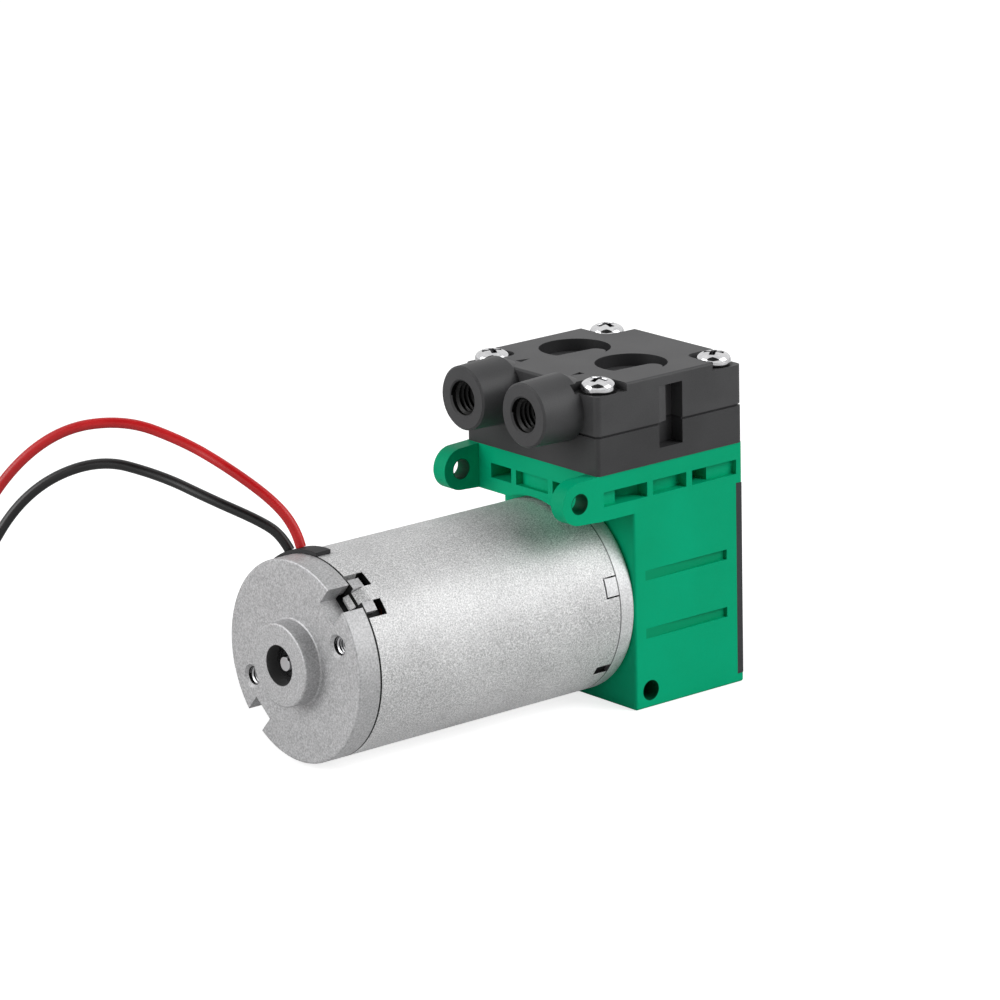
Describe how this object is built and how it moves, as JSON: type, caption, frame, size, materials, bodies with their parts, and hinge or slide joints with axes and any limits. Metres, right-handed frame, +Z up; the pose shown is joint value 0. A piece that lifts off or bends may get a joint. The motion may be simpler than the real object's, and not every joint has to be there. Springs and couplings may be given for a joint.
{
  "type": "diaphragm vacuum pump",
  "caption": "Small diaphragm vacuum pump: round brushed motor, moulded crankcase with crank and rod, and a valve head with two threaded hose ports.",
  "frame": {"origin": "under the middle of the pump's box, without its leads, on the surface it stands on", "axes": "+X along the motor from the rear cap to the pump, +Z up, so the ports open towards -X"},
  "size_m": [0.1444, 0.1142, 0.06],
  "materials": {
    "can_steel": "fine-grained plated sheet steel",
    "cast_alloy": "die-cast, slightly rough",
    "bright_steel": "bright zinc-plated screws",
    "bearing_steel": "ground",
    "core_steel": "laminated",
    "ferrite": "sintered",
    "copper_wire": "enamelled winding wire",
    "brass_parts": "stamped",
    "carbon": "pressed carbon",
    "green_plastic": "moulded, fine satin",
    "dark_plastic": "moulded, satin",
    "charcoal_plastic": "moulded, satin",
    "black_rubber": "moulded",
    "red_wire": "extruded insulation",
    "black_wire": "extruded insulation",
    "tinned_copper": "tinned strands"
  },
  "bodies": {
    "root": {"motor_can": "can_steel", "rear_end_cap": "cast_alloy", "front_end_cap": "cast_alloy", "wire_grommet": "black_rubber", "rear_bearing_outer": "bearing_steel", "front_bearing_outer": "bearing_steel", "magnets": "ferrite", "brush_holder": "dark_plastic", "brush_tubes": "brass_parts", "brushes": "carbon", "brush_springs": "brass_parts", "motor_screws": "bright_steel", "crankcase_housing": "green_plastic", "crankcase_cover": "dark_plastic", "cover_screws": "bright_steel", "diaphragm": "black_rubber", "valve_body": "charcoal_plastic", "valve_gasket": "black_rubber", "head_cover": "charcoal_plastic", "head_screws": "bright_steel", "lead_red": "red_wire", "lead_black": "black_wire", "lead_tips": "tinned_copper"},
    "rotor": {"motor_shaft": "bearing_steel", "shaft_spacers": "dark_plastic", "armature_core": "core_steel", "windings": "copper_wire", "commutator": "copper_wire", "rear_bearing_inner": "bearing_steel", "rear_bearing_balls": "bearing_steel", "front_bearing_inner": "bearing_steel", "front_bearing_balls": "bearing_steel", "eccentric": "cast_alloy", "grub_screw": "bearing_steel", "crank_bearing_inner": "bearing_steel", "crank_bearing_balls": "bearing_steel"},
    "rod": {"crank_bearing_outer": "bearing_steel", "connecting_rod": "dark_plastic", "clamp_disc": "cast_alloy", "clamp_screw": "bright_steel"},
    "inlet_valve": {"inlet_flap": "black_rubber"},
    "outlet_valve": {"outlet_flap": "black_rubber"}
  },
  "joints": [
    {"name": "rotor_spin", "type": "hinge", "parent": "root", "child": "rotor", "pos_m": [-0.04115, 0, 0.01834], "axis": [1, 0, 0], "continuous": true, "deforming": ["diaphragm"]},
    {"name": "rod_orbit", "type": "hinge", "parent": "rotor", "child": "rod", "pos_m": [0.02775, 0, 0.01984], "axis": [1, 0, 0], "continuous": true},
    {"name": "inlet_flap_lift", "type": "hinge", "parent": "root", "child": "inlet_valve", "pos_m": [0.02445, 0.0055, 0.04863], "axis": [0, 1, 0], "range_deg": [0, 12], "stiffness_Nm_per_rad": 0.00005},
    {"name": "outlet_flap_lift", "type": "hinge", "parent": "root", "child": "outlet_valve", "pos_m": [0.02445, -0.0055, 0.05003], "axis": [0, -1, 0], "range_deg": [0, 12], "stiffness_Nm_per_rad": 0.00005}
  ],
  "couplings": [
    {"joint": "rod_orbit", "follows": "rotor_spin", "ratio": -1}
  ]
}
